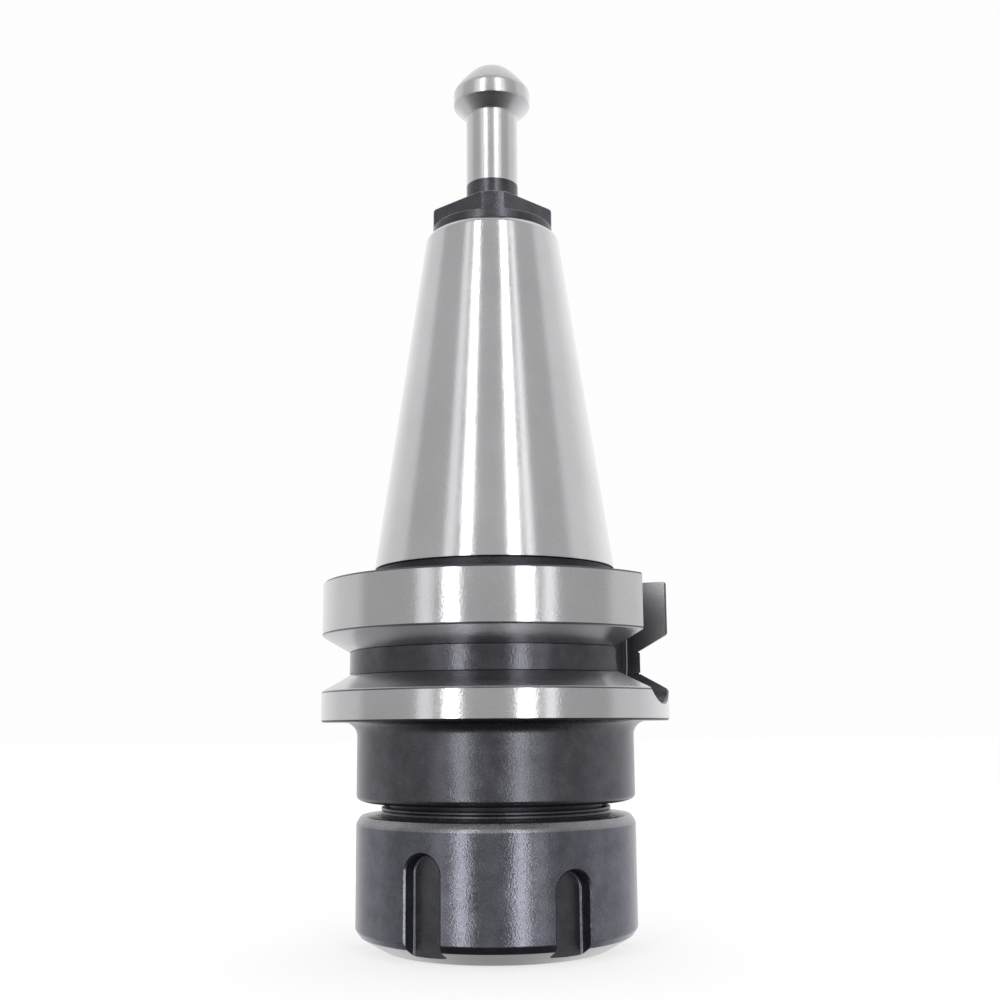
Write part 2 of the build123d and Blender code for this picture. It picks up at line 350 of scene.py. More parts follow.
def slot_tool(width, end, opening, floor, outside, edge, corner, turn):
    """Cutter for a slot with a round end, a rounded floor corner and a chamfer at the outside.

    Its round end is at the height end, and it runs out of the piece at the height opening."""
    upward = opening > end
    centre = end + width / 2 if upward else end - width / 2
    bm = bmesh.new()
    ring = bmesh.ops.create_circle(bm, cap_ends=True, radius=width / 2, segments=SLOT_END_STEPS)["verts"]
    bmesh.ops.rotate(bm, verts=ring, cent=(0, 0, 0), matrix=Matrix.Rotation(pi / 2, 3, "Y"))
    for vert in ring:
        straight = vert.co.z > WELD if upward else vert.co.z < -WELD
        vert.co.z += opening if straight else centre
        vert.co.x = floor
    cap = bm.faces[:]
    # The straight walls end under the rim, widen through it and then run out past it
    for radius, growth in ((outside - edge, 0.0), (outside + edge, 2 * edge), (outside + width, 0.0)):
        lifted = bmesh.ops.extrude_face_region(bm, geom=cap)["geom"]
        bmesh.ops.delete(bm, geom=cap, context="FACES_ONLY")
        cap = [item for item in lifted if isinstance(item, bmesh.types.BMFace)]
        ring = [item for item in lifted if isinstance(item, bmesh.types.BMVert)]
        grown = (width / 2 + growth) / (width / 2)
        for vert in ring:
            if growth:
                vert.co.y *= grown
                if abs(vert.co.z - centre) < width:
                    vert.co.z = centre + (vert.co.z - centre) * grown
            vert.co.x = sqrt(radius ** 2 - vert.co.y ** 2)
    bmesh.ops.contextual_create(bm, geom=[line for line in bm.edges if line.is_boundary])
    floor_edges = [line for line in bm.edges if all(abs(vert.co.x - floor) < WELD for vert in line.verts)]
    bmesh.ops.bevel(
        bm, geom=floor_edges, offset=corner, offset_type="OFFSET", segments=4,
        profile=0.5, affect="EDGES", material=-1,
    )
    bmesh.ops.recalc_face_normals(bm, faces=bm.faces[:])
    swing(bm, turn)
    return to_object(bm, "slot_tool")


def thread_ridge(root, crest, low, high, pitch, turn):
    """A bmesh of one thread ridge, wound between two heights with run-outs at its ends."""
    count = ceil((high - low) / pitch * THREAD_STEPS)
    depth = crest - root
    base = root - RIDGE_SINK * depth
    half_base = pitch * RIDGE_BASE / 2
    half_crest = pitch * RIDGE_CREST / 2
    bm = bmesh.new()
    section = [
        bm.verts.new((base, 0, low - half_base)),
        bm.verts.new((crest, 0, low - half_crest)),
        bm.verts.new((crest, 0, low + half_crest)),
        bm.verts.new((base, 0, low + half_base)),
    ]
    bmesh.ops.spin(
        bm, geom=[bm.faces.new(section)], cent=(0, 0, 0), axis=(0, 0, 1), dvec=(0, 0, pitch / THREAD_STEPS),
        angle=tau * count / THREAD_STEPS, steps=count, use_merge=False, use_duplicate=False,
    )
    run_out = pitch / 3
    for vert in bm.verts:
        radius = hypot(vert.co.x, vert.co.y)
        if abs(radius - crest) < abs(depth) / 2:
            inside_ends = min(vert.co.z - low, high - vert.co.z) + half_base
            wanted = base + (crest - base) * min(1.0, max(0.0, inside_ends / run_out))
            vert.co.xy = vert.co.xy * (wanted / radius)
    swing(bm, turn)
    bmesh.ops.recalc_face_normals(bm, faces=bm.faces[:])
    return bm


def join_in(piece, bm):
    """Adds the faces of a bmesh to a piece as a shell of its own."""
    whole = bmesh.new()
    whole.from_mesh(piece.data)
    extra = bpy.data.meshes.new("extra")
    bm.to_mesh(extra)
    bm.free()
    whole.from_mesh(extra)
    whole.to_mesh(piece.data)
    whole.free()
    bpy.data.meshes.remove(extra)


def finish_piece(piece, body, node, materials, chooser):
    """Gives a piece its materials face by face, its shading and its place on a body.

    The chooser names a face's material from its radius and height, and from how far it faces
    outward and upward, each from -1 to 1."""
    mesh = piece.data
    mesh.materials.clear()
    for material in materials.values():
        mesh.materials.append(material)
    names = list(materials)
    for face in mesh.polygons:
        radius = hypot(face.center.x, face.center.y)
        outward = (face.normal.x * face.center.x + face.normal.y * face.center.y) / max(radius, WELD)
        face.material_index = names.index(chooser(radius, face.center.z, outward, face.normal.z))
        face.use_smooth = True
    mesh.set_sharp_from_angle(angle=SHARP_ANGLE)
    weighted = piece.modifiers.new("Even shading", "WEIGHTED_NORMAL")
    weighted.keep_sharp = True
    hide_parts(node)
    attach(piece, body)


# Materials


def new_material(name):
    """A material with its shader and its surface coordinates."""
    material = bpy.data.materials.new(name)
    material.use_nodes = True
    tree = material.node_tree
    shader = tree.nodes["Principled BSDF"]
    place = tree.nodes.new("ShaderNodeTexCoord")
    return material, tree, shader, place.outputs["Object"]


def math_node(tree, operation, first, second=0.0, third=0.0):
    """The result of a sum on sockets or numbers."""
    node = tree.nodes.new("ShaderNodeMath")
    node.operation = operation
    for socket, value in zip(node.inputs, (first, second, third)):
        if isinstance(value, bpy.types.NodeSocket):
            tree.links.new(value, socket)
        else:
            socket.default_value = value
    return node.outputs[0]


def weighed(tree, first, first_share, second, second_share):
    """Sum of two values, each times its share."""
    rest = math_node(tree, "MULTIPLY", second, second_share)
    return math_node(tree, "MULTIPLY_ADD", first, first_share, rest)


def mixed_colours(tree, share, first, second):
    """Runs from one colour to another as a value goes from 0 to 1."""
    node = tree.nodes.new("ShaderNodeMix")
    node.data_type = "RGBA"
    node.inputs["A"].default_value = (*first, 1)
    node.inputs["B"].default_value = (*second, 1)
    tree.links.new(share, node.inputs["Factor"])
    return node.outputs["Result"]


def mixed_shaders(tree, share, first, second):
    """Runs from one shader to another as a value goes from 0 to 1."""
    node = tree.nodes.new("ShaderNodeMixShader")
    for socket, source in zip(node.inputs, (share, first, second)):
        tree.links.new(source, socket)
    return node.outputs[0]


def noise(tree, coordinates, scale, detail=3.0, roughness=0.5):
    """Value of a noise texture."""
    node = tree.nodes.new("ShaderNodeTexNoise")
    node.inputs["Scale"].default_value = scale
    node.inputs["Detail"].default_value = detail
    node.inputs["Roughness"].default_value = roughness
    tree.links.new(coordinates, node.inputs["Vector"])
    return node.outputs["Fac"]


def turning_lines(tree, place, scale):
    """Fine lines round the axis, which change along the radius and the height only."""
    split = tree.nodes.new("ShaderNodeSeparateXYZ")
    tree.links.new(place, split.inputs[0])
    x_squared = math_node(tree, "MULTIPLY", split.outputs["X"], split.outputs["X"])
    r_squared = math_node(tree, "MULTIPLY_ADD", split.outputs["Y"], split.outputs["Y"], x_squared)
    radius = math_node(tree, "SQRT", r_squared)
    join = tree.nodes.new("ShaderNodeCombineXYZ")
    tree.links.new(radius, join.inputs["X"])
    tree.links.new(split.outputs["Z"], join.inputs["Z"])
    return noise(tree, join.outputs[0], scale, detail=2.0, roughness=0.7)


def stretched(tree, place, ratio):
    """Surface coordinates in which marks run longer across the axis than along it."""
    node = tree.nodes.new("ShaderNodeMapping")
    node.inputs["Scale"].default_value = (1, 1, ratio)
    tree.links.new(place, node.inputs["Vector"])
    return node.outputs["Vector"]


def span(tree, value, low, high, start=0.3, stop=0.7):
    """Spreads a value that runs from start to stop between two levels."""
    node = tree.nodes.new("ShaderNodeMapRange")
    node.inputs["From Min"].default_value = start
    node.inputs["From Max"].default_value = stop
    node.inputs["To Min"].default_value = low
    node.inputs["To Max"].default_value = high
    tree.links.new(value, node.inputs["Value"])
    return node.outputs["Result"]


def tinted(tree, shader, base, value, low, high):
    """Base colour that a value makes darker or lighter."""
    darker = [channel * low for channel in base]
    lighter = [min(1.0, channel * high) for channel in base]
    tint = mixed_colours(tree, span(tree, value, 0.0, 1.0), darker, lighter)
    tree.links.new(tint, shader.inputs["Base Color"])


def relief(tree, shader, height, strength, distance):
    """Bump from a height value."""
    node = tree.nodes.new("ShaderNodeBump")
    node.inputs["Strength"].default_value = strength
    node.inputs["Distance"].default_value = distance
    tree.links.new(height, node.inputs["Height"])
    tree.links.new(node.outputs["Normal"], shader.inputs["Normal"])


def ground_steel(name, base, roughness):
    """Bright steel with the fine round lines and the grain that turning and grinding leave."""
    material, tree, shader, place = new_material(name)
    lines = turning_lines(tree, place, scale=2600.0)
    cloud = noise(tree, place, scale=90.0)
    grain = noise(tree, stretched(tree, place, ratio=2.0), scale=2600.0, detail=2.0)
    shader.inputs["Metallic"].default_value = 1.0
    tinted(tree, shader, base, weighed(tree, grain, 0.5, cloud, 0.5), low=0.93, high=1.06)
    blend = weighed(tree, lines, 0.6, cloud, 0.4)
    tree.links.new(span(tree, blend, roughness - 0.03, roughness + 0.04), shader.inputs["Roughness"])
    marks = math_node(tree, "MULTIPLY_ADD", lines, 0.3, grain)
    relief(tree, shader, marks, strength=0.35, distance=0.04 * MM)
    return material


def painted_light_wall(name, base, worn_and_sheen, inner, outer):
    """Blackened slot wall painted ever brighter from an inner to an outer distance, as painted light towards
    the slot's opening.
    """
    material, tree, shader, place = new_material(name)
    split = tree.nodes.new("ShaderNodeSeparateXYZ")
    tree.links.new(place, split.inputs[0])
    reach = math_node(tree, "ABSOLUTE", split.outputs["X"])
    grain = noise(tree, place, scale=3400.0, detail=2.0)
    blend = math_node(tree, "MULTIPLY_ADD", grain, 2 * MM, reach)
    # Painted light: the wall runs from the base colour to the pale one outwards
    painted_light_share = span(tree, blend, 0.0, 1.0, start=inner, stop=outer)
    tree.links.new(mixed_colours(tree, painted_light_share, base, worn_and_sheen), shader.inputs["Base Color"])
    shader.inputs["Metallic"].default_value = 0.9
    shader.inputs["Roughness"].default_value = 0.35
    relief(tree, shader, grain, strength=0.25, distance=0.1 * MM)
    return material


def black_oxide(name, base, roughness, blotch):
    """Blackened steel: a dark bluish skin, cloudy and finely grained."""
    material, tree, shader, place = new_material(name)
    grain = noise(tree, place, scale=3400.0, detail=2.0)
    cloud = noise(tree, place, scale=300.0, detail=5.0, roughness=0.65)
    shader.inputs["Metallic"].default_value = 0.92
    skin = weighed(tree, grain, 0.4, cloud, 0.6)
    tinted(tree, shader, base, skin, low=0.68, high=1.32)
    tree.links.new(span(tree, skin, roughness - blotch, roughness + blotch), shader.inputs["Roughness"])
    relief(tree, shader, grain, strength=0.28, distance=0.1 * MM)
    return material


# Operators


class TOOLHOLDER_OT_holder(bpy.types.Operator):
    """Builds the holder body: taper, flange, body and threaded nose"""

    bl_idname = "toolholder.holder"
    bl_label = "Build holder body"

    def execute(self, context):
        sizes = context.scene.holder_sizes
        finishes = context.scene.finishes
        body_bottom = NUT_TOP + sizes.nut_gap
        chamfer_top = body_bottom + sizes.body_chamfer_height
        flange_bottom = body_bottom + sizes.body_length
        flange_top = flange_bottom + sizes.flange_thickness
        gauge = flange_top + sizes.gauge_to_flange
        groove = gauge - sizes.gauge_to_groove
        flank = sizes.groove_depth * tan(sizes.groove_half_angle)
        groove_floor = FLANGE_RADIUS - sizes.groove_depth
        slope = tan(sizes.socket_half_angle)
        foot = gauge + sizes.foot_rise
        end = TAPER_TOP - sizes.end_chamfer_length
        socket_top = COLLET_BACK + SOCKET_RUN_OUT
        relief_top = socket_top + sizes.relief_length
        relief_point = (sizes.relief_radius - sizes.way_radius) * DRILL_POINT
        hole_bottom = TAPER_TOP - sizes.stud_hole_depth
        hole_point = (sizes.stud_hole_radius - sizes.way_radius) * DRILL_POINT

        def taper(height):
            """Radius of the 7:24 taper at a height."""
            return sizes.gauge_radius - (height - gauge) * 7 / 48

        def undercut(low, high):
            """Corners of a fine undercut in the groove's floor."""
            bottom = groove_floor - sizes.undercut
            return (groove_floor, low), (bottom, low), (bottom, high), (groove_floor, high)

        low_edge = groove - sizes.groove_width / 2
        high_edge = groove + sizes.groove_width / 2
        corners = [
            (sizes.socket_radius, NOSE_FACE, SMALL, 2),
            (sizes.thread_root, NOSE_FACE, 0.5 * MM, 1),
            (sizes.thread_root, body_bottom, EASY, 3),
            (sizes.body_radius - sizes.body_chamfer, body_bottom, 0.5 * MM, 4),
            (sizes.body_radius, chamfer_top, 0.55 * MM, 4),
            (sizes.body_radius, flange_bottom, sizes.body_fillet, ROUND_STEPS),
            (FLANGE_RADIUS, flange_bottom, sizes.flange_chamfer, 1),
            (FLANGE_RADIUS, low_edge, EASY, 2),
            *undercut(low_edge + flank, low_edge + flank + sizes.undercut_width),
            *undercut(high_edge - flank - sizes.undercut_width, high_edge - flank),
            (FLANGE_RADIUS, high_edge, EASY, 2),
            (FLANGE_RADIUS, flange_top, sizes.flange_chamfer, 1),
            (sizes.foot_radius, flange_top, 0.4 * MM, 3),
            (sizes.foot_radius, foot, SMALL, 2),
            (taper(foot), foot, EASY, 2),
            (taper(end), end, EASY, 3),
            (taper(TAPER_TOP) - sizes.end_chamfer, TAPER_TOP, SMALL, 2),
            (sizes.stud_hole_radius, TAPER_TOP, SMALL, 1),
            (sizes.stud_hole_radius, hole_bottom),
            (sizes.way_radius, hole_bottom - hole_point),
            (sizes.way_radius, relief_top + relief_point),
            (sizes.relief_radius, relief_top),
            (sizes.relief_radius, socket_top),
            (sizes.socket_radius - (socket_top - NOSE_FACE) * slope, socket_top),
        ]
        piece = to_object(turned(corners), "holder_body_dressed")
        tools = [
            slot_tool(
                sizes.slot_width, gauge - sizes.gauge_to_slot_end, flange_top + CUTTER_REACH,
                sizes.slot_floor, FLANGE_RADIUS, sizes.slot_edge, sizes.slot_corner, turn,
            )
            for turn in (0.0, pi)
        ]
        cut_out(piece, tools)
        thread_low = NOSE_FACE + NOSE_THREAD_START
        thread_high = body_bottom - NOSE_THREAD_END - sizes.nut_gap
        join_in(piece, thread_ridge(
            sizes.thread_root, sizes.thread_radius, thread_low, thread_high, sizes.thread_pitch, 0.0,
        ))
        materials = {
            "ground": ground_steel("ground_steel", finishes.ground, 0.14),
            "satin": ground_steel("satin_groove_steel", finishes.satin, 0.22),
            "black": black_oxide("black_oxide", finishes.black, 0.24, 0.08),
            # Painted shade: a darker black on the body's lower chamfer, the flange's edges and the drive
            # slots' floors
            "deep_black_and_shade": black_oxide("painted_shade_black_oxide", finishes.deep_black_and_shade, 0.4, 0.05),
            # Worn edges, partly painted highlight
            "worn_and_sheen": black_oxide("worn_and_sheen_black_oxide", finishes.polished_black, 0.25, 0.05),
            # Painted light on the drive slots' walls, paler towards their opening
            "slot_wall": painted_light_wall(
                "painted_light_slot_wall", finishes.deep_black_and_shade, finishes.satin, 24.5 * MM, 31.0 * MM,
            ),
            # Painted shade: a darker black on the groove's floor
            "groove_floor": black_oxide("groove_floor_shade_black_oxide", finishes.deep_black_and_shade, 0.16, 0.05),
            # Painted shade in the narrow recesses
            "recess_shade": black_oxide("recess_painted_shade_black_oxide", finishes.recess_shade, 0.4, 0.05),
        }
        rim = FLANGE_RADIUS - 0.7 * MM
        slot_floor = sizes.slot_floor
        corner_reach = slot_floor + 2 * MM
        wall_foot = slot_floor + 1.5 * MM
        recess_shade_reach = sizes.foot_radius + 0.6 * MM

        def choose_round(radius, height, outward, upward):
            """Material of a face that was turned between the flange's two sides."""
            if low_edge - EASY < height < high_edge + EASY:
                if radius > groove_floor + FINE and abs(upward) > 0.3:
                    return "satin"
                # The groove's rims take the worn colour, partly a painted highlight, and its floor takes
                # painted shade
                return "worn_and_sheen" if radius > rim else "groove_floor"
            at_edge = min(height - flange_bottom, flange_top - height) < sizes.flange_chamfer
            # The flange's edges and the drive slots' floors take painted shade
            if radius <= rim or at_edge:
                return "deep_black_and_shade"
            # The chamfers round the drive slots take the worn colour, partly a painted highlight
            return "ground" if outward > 0.97 else "worn_and_sheen"

        def choose(radius, height, outward, upward):
            if height > foot - FINE and outward > 0.5:
                return "ground"
            if flange_bottom < height < flange_top:
                # The rounding between a drive slot's wall and floor: a worn line, partly a painted highlight
                if slot_floor < radius < corner_reach and 0.1 < outward < 0.85:
                    return "worn_and_sheen"
                # The drive slots' walls take the painted light
                if radius > wall_foot and abs(outward) < 0.4 and abs(upward) < 0.3:
                    return "slot_wall"
                if outward > 0.4:
                    return choose_round(radius, height, outward, upward)
            # A worn line, partly a painted highlight, along the top of the body's lower chamfer
            if abs(height - chamfer_top) < NEAR and radius > sizes.body_radius - SMALL and upward < -0.05:
                return "worn_and_sheen"
            # Painted shade in the relief under the taper
            if flange_top - FINE < height < foot + FINE and radius < recess_shade_reach:
                return "recess_shade"
            # Painted shade on the nose and on the neck under the body
            if height < body_bottom + FINE:
                return "recess_shade"
            # Painted shade on the body's lower chamfer
            return "deep_black_and_shade" if height < chamfer_top else "black"

        finish_piece(piece, "holder", "holder_body", materials, choose)
        return {"FINISHED"}


class TOOLHOLDER_OT_stud(bpy.types.Operator):
    """Builds the pull stud with its wrench flats and domed head"""

    bl_idname = "toolholder.stud"
    bl_label = "Build pull stud"

    def execute(self, context):
        sizes = context.scene.stud_sizes
        finishes = context.scene.finishes
        seat = TAPER_TOP
        flange_top = seat + sizes.flange_thickness
        cone_low = seat + sizes.cone_rise
        cone_high = cone_low + sizes.head_radius - sizes.neck_radius
        rim = seat + sizes.rim_rise
        black_top = seat + sizes.black_rise
        run, rise = sizes.head_radius - sizes.crown_radius, STUD_TOP - rim
        chord = hypot(run, rise)
        bulge_radius = (sizes.head_radius + sizes.crown_radius) / 2 + sizes.crown_bulge * rise / chord
        bulge_height = (rim + STUD_TOP) / 2 + sizes.crown_bulge * run / chord
        corners = [
            (0.0, STUD_TOP),
            (sizes.crown_radius, STUD_TOP, 0.5 * MM, 4),
            (bulge_radius, bulge_height, 2.4 * MM, 8),
            (sizes.head_radius, rim, 0.4 * MM, 4),
            (sizes.head_radius, cone_high, 0.25 * MM, 3),
            (sizes.neck_radius, cone_low, EASY, 3),
            (sizes.neck_radius, flange_top, sizes.root_fillet, 6),
            (STUD_FLANGE_RADIUS, flange_top, EASY, 2),
            (STUD_FLANGE_RADIUS, seat, 0.25 * MM, 2),
            (sizes.thread_radius, seat),
            (sizes.thread_radius, STUD_END, 1.0 * MM, 1),
            (0.0, STUD_END),
        ]
        piece = to_object(turned(corners, closed=False), "pull_stud_dressed")
        tools = []
        reach = STUD_FLANGE_RADIUS
        middle = (sizes.half_flats + reach, 0, seat + sizes.ring_thickness + reach)
        for quarter in range(4):
            bm = bmesh.new()
            bmesh.ops.create_cube(bm, size=2 * reach)
            bmesh.ops.translate(bm, verts=bm.verts[:], vec=middle)
            for vert in bm.verts:
                vert.co.z = min(vert.co.z, flange_top + 1 * MM)
            swing(bm, sizes.flat_turn + quarter * pi / 2)
            tools.append(to_object(bm, "flat_tool"))
        cut_out(piece, tools)
        # A cut line at the top of the blackened part, so that its border is straight
        bm = bmesh.new()
        bm.from_mesh(piece.data)
        bmesh.ops.bisect_plane(
            bm, geom=bm.verts[:] + bm.edges[:] + bm.faces[:], dist=WELD, plane_co=(0, 0, black_top),
            plane_no=(0, 0, 1),
        )
        bm.to_mesh(piece.data)
        bm.free()
        materials = {
            "ground": ground_steel("stud_steel", finishes.ground, 0.24),
            "black": black_oxide("stud_black_oxide", finishes.deep_black_and_shade, 0.25, 0.05),
            "worn_and_sheen": black_oxide("stud_worn_and_sheen_black_oxide", finishes.worn_and_sheen, 0.3, 0.05),
        }
        # Broken edges round the flats, in the worn colour that is partly a painted highlight
        breaks = piece.modifiers.new("Broken edges", "BEVEL")
        breaks.width = sizes.edge_break
        breaks.segments = 2
        breaks.limit_method = "ANGLE"
        breaks.angle_limit = BREAK_ANGLE
        breaks.material = list(materials).index("worn_and_sheen")
        breaks.use_clamp_overlap = False

        def choose(radius, height, outward, upward):
            return "ground" if height > black_top else "black"

        finish_piece(piece, "holder", "pull_stud", materials, choose)
        return {"FINISHED"}


class TOOLHOLDER_OT_nut(bpy.types.Operator):
    """Builds the slotted clamping nut with its extractor ring and thread"""

    bl_idname = "toolholder.nut"
    bl_label = "Build clamping nut"

    def execute(self, context):
        sizes = context.scene.nut_sizes
        holder = context.scene.holder_sizes
        finishes = context.scene.finishes
        ring_top = sizes.ring_bottom + sizes.ring_thickness
        shoulder = NUT_TOP - sizes.crown_rise
        chamfer_low = shoulder - sizes.top_chamfer_height
        collar_low = shoulder + sizes.collar_foot
        corners = [
            (sizes.mouth_radius, 0.0, SMALL, 2),
            (sizes.face_radius, 0.0, sizes.face_corner, 4),
            (NUT_RADIUS - sizes.rim_inset, sizes.cone_height, 0.12 * MM, 2),
            (NUT_RADIUS, sizes.cone_height + sizes.rim_height, SMALL, 3),
            (NUT_RADIUS, chamfer_low, 0.45 * MM, 4),
            (NUT_RADIUS - sizes.top_chamfer, shoulder, 0.25 * MM, 3),
            (sizes.collar_radius, collar_low, FINE, 2),
            (sizes.collar_radius, collar_low + sizes.collar_ring),
            (sizes.collar_radius - sizes.collar_ring / 2, collar_low + 1.5 * sizes.collar_ring),
            (sizes.collar_radius, collar_low + 2 * sizes.collar_ring),
            (sizes.collar_radius, NUT_TOP, FINE, 2),
            (sizes.thread_radius + sizes.mouth_chamfer, NUT_TOP, FINE, 2),
            (sizes.thread_radius, NUT_TOP - sizes.mouth_chamfer, FINE, 2),
            (sizes.thread_radius, sizes.bore_bottom),
            (sizes.cavity_radius, sizes.bore_bottom),
            (sizes.cavity_radius, ring_top),
            (sizes.pocket_radius, ring_top),
            (sizes.pocket_radius, sizes.seat_top),
            (sizes.mouth_radius, sizes.lip_height, FINE, 2),
        ]
        piece = to_object(turned(corners), "clamping_nut_dressed")
        tools = []
        for index in range(sizes.slot_count):
            end = sizes.slot_short if index % 2 else sizes.slot_long
            tools.append(slot_tool(
                sizes.slot_width, end, -CUTTER_REACH, sizes.slot_floor, NUT_RADIUS, sizes.slot_edge,
                sizes.slot_corner, sizes.slot_turn + index * tau / sizes.slot_count,
            ))
        cut_out(piece, tools)
        # The extractor ring is rooted in the pocket's wall and ends a hair under the pocket's step
        ring_root = sizes.pocket_radius + 0.7 * MM
        ring_back = ring_top - 0.01 * MM
        ring = turned([
            (sizes.ring_radius, sizes.ring_bottom),
            (ring_root, sizes.ring_bottom),
            (ring_root, ring_back),
            (sizes.ring_radius, ring_back),
        ])
        for vert in ring.verts:
            if hypot(vert.co.x, vert.co.y) < sizes.ring_radius + FINE:
                vert.co.x += sizes.ring_offset
        join_in(piece, ring)
        join_in(piece, thread_ridge(
            sizes.thread_radius, sizes.thread_crest, sizes.bore_bottom + NUT_THREAD_START,
            NUT_TOP - NUT_THREAD_END, holder.thread_pitch, nut_thread_turn(holder, sizes),
        ))
        materials = {
            "face": ground_steel("nut_face_steel", finishes.nut_face, 0.3),
            "black": black_oxide("nut_black_oxide", finishes.polished_black, 0.18, 0.06),
            # Painted shade: a darker black in the slots, in the bore and on the collar under the body
            "deep_black_and_shade": black_oxide("nut_painted_shade_black_oxide", finishes.deep_black_and_shade, 0.3, 0.05),
            # Worn edges, partly painted highlight, and a painted reflection on the nut's back
            "worn_and_sheen": black_oxide("nut_worn_and_sheen_black_oxide", finishes.worn_and_sheen, 0.25, 0.05),
        }
        rim_low = sizes.cone_height + sizes.rim_height
        slot_floor = sizes.slot_floor
        corner_reach = slot_floor + 0.6 * MM
        skin = NUT_RADIUS - 0.35 * MM
        slot_reach = NUT_RADIUS - 1.2 * MM

        def choose(radius, height, outward, upward):
            if height < sizes.cone_height and upward < -0.2 and radius > sizes.mouth_radius:
                return "face"
            # Painted shade on the collar and the mouth under the body
            if height > shoulder - 0.05 * MM and radius < sizes.collar_radius + FINE:
                return "deep_black_and_shade"
            # The top chamfer takes the worn colour with its painted highlight, and the back beside the collar
            # a painted reflection
            if height > chamfer_low - NEAR and upward > 0.1:
                return "worn_and_sheen"
            # The corner between a slot's wall and floor keeps the nut's own black, lighter than the painted
            # shade round it
            if slot_floor < radius < corner_reach and 0.1 < outward < 0.9:
                return "black"
            if radius > skin and height > rim_low and outward < 0.85:
                return "black"
            # The slots and the insides take painted shade
            in_slot = outward < 0.9 and abs(upward) < 0.5 or radius < slot_reach
            return "deep_black_and_shade" if in_slot and height < shoulder else "black"

        finish_piece(piece, "nut", "clamping_nut", materials, choose)
        return {"FINISHED"}


def nut_thread_turn(holder, sizes):
    """Turn that puts the nut's ridge midway between the turns of the nose's ridge."""
    nose_start = NOSE_FACE + NOSE_THREAD_START
    nut_start = sizes.bore_bottom + NUT_THREAD_START
    rise = nut_start - nose_start + holder.thread_pitch / 2
    return (rise / holder.thread_pitch % 1.0) * tau


class TOOLHOLDER_OT_collet(bpy.types.Operator):
    """Gives the slit collet its spring steel"""

    bl_idname = "toolholder.collet"
    bl_label = "Finish collet"

    def execute(self, context):
        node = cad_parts["collet"]
        material = ground_steel("collet_spring_steel", context.scene.finishes.spring, 0.33)
        node.data.materials.clear()
        node.data.materials.append(material)
        return {"FINISHED"}


class TOOLHOLDER_OT_studio(bpy.types.Operator):
    """Sets up the floor, the white surroundings, the strip lamps and the camera"""

    bl_idname = "toolholder.studio"
    bl_label = "Set up studio"

    def execute(self, context):
        settings = context.scene.studio_settings
        add_floor(settings)
        add_world(context.scene, settings)
        for name in ("left_strip", "left_panel", "right_strip", "right_panel"):
            azimuth, width, brightness = getattr(settings, name)
            add_lamp(name, settings, radians(azimuth), width * MM, brightness)
        add_camera(context.scene, settings)
        context.scene.view_settings.view_transform = "Standard"
        return {"FINISHED"}


def add_floor(settings):
    """A pale round floor that keeps the object's shadow, and that glossy rays pass."""
    bm = bmesh.new()
    disc = bmesh.ops.create_circle(bm, cap_ends=True, radius=settings.floor_radius, segments=128)["verts"]
    bmesh.ops.translate(bm, verts=disc, vec=(0, 0, -settings.floor_gap))
    floor = to_object(bm, "floor")
    material = bpy.data.materials.new("pale_floor")
    material.use_nodes = True
    tree = material.node_tree
    tree.nodes.clear()
    output = tree.nodes.new("ShaderNodeOutputMaterial")
    matt = tree.nodes.new("ShaderNodeBsdfDiffuse")
    matt.inputs["Color"].default_value = (*settings.floor_colour, 1)
    lift = tree.nodes.new("ShaderNodeEmission")
    lift.inputs["Strength"].default_value = settings.floor_lift
    clear = tree.nodes.new("ShaderNodeBsdfTransparent")
    rays = tree.nodes.new("ShaderNodeLightPath").outputs
    seen = tree.nodes.new("ShaderNodeAddShader")
    tree.links.new(matt.outputs[0], seen.inputs[0])
    tree.links.new(lift.outputs[0], seen.inputs[1])
    for_camera = mixed_shaders(tree, rays["Is Camera Ray"], matt.outputs[0], seen.outputs[0])
    for_gloss = mixed_shaders(tree, rays["Is Glossy Ray"], for_camera, clear.outputs[0])
    tree.links.new(for_gloss, output.inputs["Surface"])
    floor.data.materials.append(material)


def grey(brightness):
    """An opaque grey."""
    return (brightness, brightness, brightness, 1)


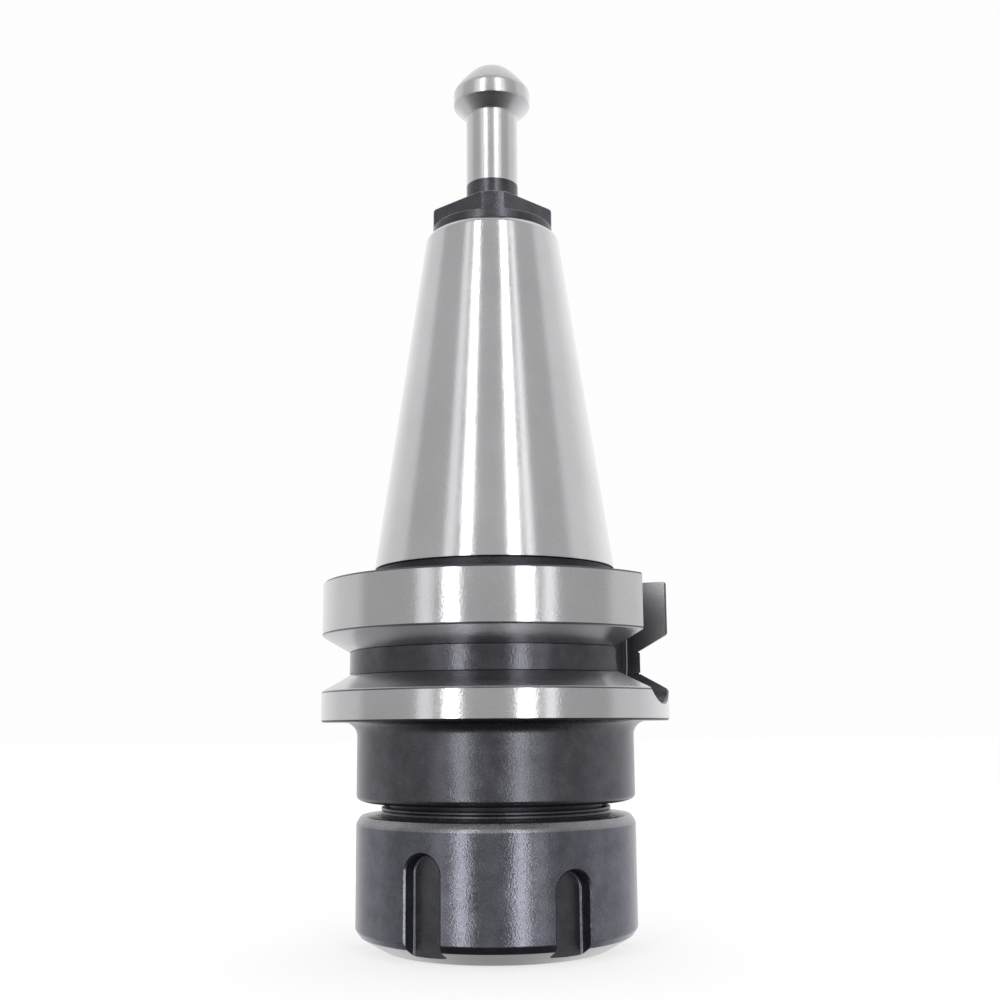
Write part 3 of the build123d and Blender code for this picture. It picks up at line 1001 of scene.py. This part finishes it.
def add_world(scene, settings):
    """White to the camera. The object sees it grey in front, white behind and dark straight below."""
    world = bpy.data.worlds.new("studio")
    scene.world = world
    world.use_nodes = True
    tree = world.node_tree
    tree.nodes.clear()
    output = tree.nodes.new("ShaderNodeOutputWorld")
    place = tree.nodes.new("ShaderNodeTexCoord")
    split = tree.nodes.new("ShaderNodeSeparateXYZ")
    tree.links.new(place.outputs["Generated"], split.inputs[0])
    front = settings.camera_azimuth + settings.front_azimuth
    away = math_node(tree, "MULTIPLY", split.outputs["X"], -sin(front))
    behind = math_node(tree, "MULTIPLY_ADD", split.outputs["Y"], cos(front), away)
    # Front, sides and back, from straight in front at 0 to straight behind at 1
    walls = tree.nodes.new("ShaderNodeValToRGB")
    tree.links.new(math_node(tree, "MULTIPLY_ADD", behind, 0.5, 0.5), walls.inputs["Fac"])
    stops = walls.color_ramp.elements
    stops[0].position, stops[0].color = 0.45, grey(settings.front_level)
    stops[1].position, stops[1].color = 0.98, grey(1.0)
    stops.new(0.51).color = grey(settings.side_level)
    stops.new(0.7).color = grey(settings.side_level + 0.05)
    depth = math_node(tree, "MULTIPLY_ADD", behind, 0.15, split.outputs["Z"])
    under = span(tree, depth, settings.under_level, 1.0, start=-0.9, stop=-0.45)
    upward = span(tree, split.outputs["Z"], settings.horizon_level, settings.upper_level, start=0.0, stop=0.5)
    room = tree.nodes.new("ShaderNodeBackground")
    tree.links.new(walls.outputs["Color"], room.inputs["Color"])
    tree.links.new(math_node(tree, "MULTIPLY", under, upward), room.inputs["Strength"])
    white = tree.nodes.new("ShaderNodeBackground")
    white.inputs["Color"].default_value = (*settings.background, 1)
    rays = tree.nodes.new("ShaderNodeLightPath").outputs
    surroundings = mixed_shaders(tree, rays["Is Camera Ray"], room.outputs[0], white.outputs[0])
    tree.links.new(surroundings, output.inputs["Surface"])


def add_lamp(name, settings, azimuth, width, brightness):
    """An upright lamp that faces the axis, as bright as white where its brightness is 1."""
    light = bpy.data.lights.new(name, "AREA")
    light.shape = "RECTANGLE"
    light.size = width
    light.size_y = settings.lamp_height
    light.energy = brightness * pi * light.size * light.size_y
    stand = bpy.data.objects.new(name, light)
    turn = settings.camera_azimuth + azimuth
    towards = Vector((sin(turn), -cos(turn), 0))
    stand.location = towards * settings.lamp_distance + Vector((0, 0, settings.lamp_centre))
    stand.rotation_mode = "QUATERNION"
    stand.rotation_quaternion = towards.to_track_quat("Z", "Y")
    bpy.context.scene.collection.objects.link(stand)


def add_camera(scene, settings):
    """The camera at the photograph's place."""
    data = bpy.data.cameras.new("camera")
    data.lens = settings.camera_lens
    data.clip_start = 0.01
    data.clip_end = 20
    camera = bpy.data.objects.new("camera", data)
    azimuth, pitch, roll = settings.camera_azimuth, settings.camera_pitch, settings.camera_roll
    forward = Vector((-sin(azimuth) * cos(pitch), cos(azimuth) * cos(pitch), sin(pitch)))
    right = Vector((cos(azimuth), sin(azimuth), 0))
    up = right.cross(forward)
    leaning_right = cos(roll) * right + sin(roll) * up
    leaning_up = cos(roll) * up - sin(roll) * right
    axes = Matrix((leaning_right, leaning_up, -forward)).transposed()
    camera.matrix_world = Matrix.Translation(settings.camera_place) @ axes.to_4x4()
    scene.collection.objects.link(camera)
    scene.camera = camera


class TOOLHOLDER_PT_panel(bpy.types.Panel):
    """Lists the pieces and the studio"""

    bl_idname = "TOOLHOLDER_PT_panel"
    bl_label = "Tool holder"
    bl_space_type = "VIEW_3D"
    bl_region_type = "UI"
    bl_category = "Tool holder"

    def draw(self, context):
        for operator in OPERATORS:
            self.layout.operator(operator.bl_idname)


OPERATORS = (
    TOOLHOLDER_OT_holder,
    TOOLHOLDER_OT_stud,
    TOOLHOLDER_OT_nut,
    TOOLHOLDER_OT_collet,
    TOOLHOLDER_OT_studio,
)
SETTINGS = {
    "holder_sizes": HolderSizes,
    "stud_sizes": StudSizes,
    "nut_sizes": NutSizes,
    "finishes": Finishes,
    "studio_settings": StudioSettings,
}


def register():
    """Adds the settings, the operators and the panel."""
    for group in SETTINGS.values():
        bpy.utils.register_class(group)
    for name, group in SETTINGS.items():
        setattr(bpy.types.Scene, name, bpy.props.PointerProperty(type=group))
    for operator in OPERATORS:
        bpy.utils.register_class(operator)
    bpy.utils.register_class(TOOLHOLDER_PT_panel)


def unregister():
    """Takes away what register added."""
    bpy.utils.unregister_class(TOOLHOLDER_PT_panel)
    for operator in reversed(OPERATORS):
        bpy.utils.unregister_class(operator)
    for name in SETTINGS:
        delattr(bpy.types.Scene, name)
    for group in reversed(SETTINGS.values()):
        bpy.utils.unregister_class(group)


def main():
    """Builds the whole scene."""
    register()
    bpy.ops.toolholder.holder()
    bpy.ops.toolholder.stud()
    bpy.ops.toolholder.nut()
    bpy.ops.toolholder.collet()
    bpy.ops.toolholder.studio()


if __name__ == "__main__":
    main()
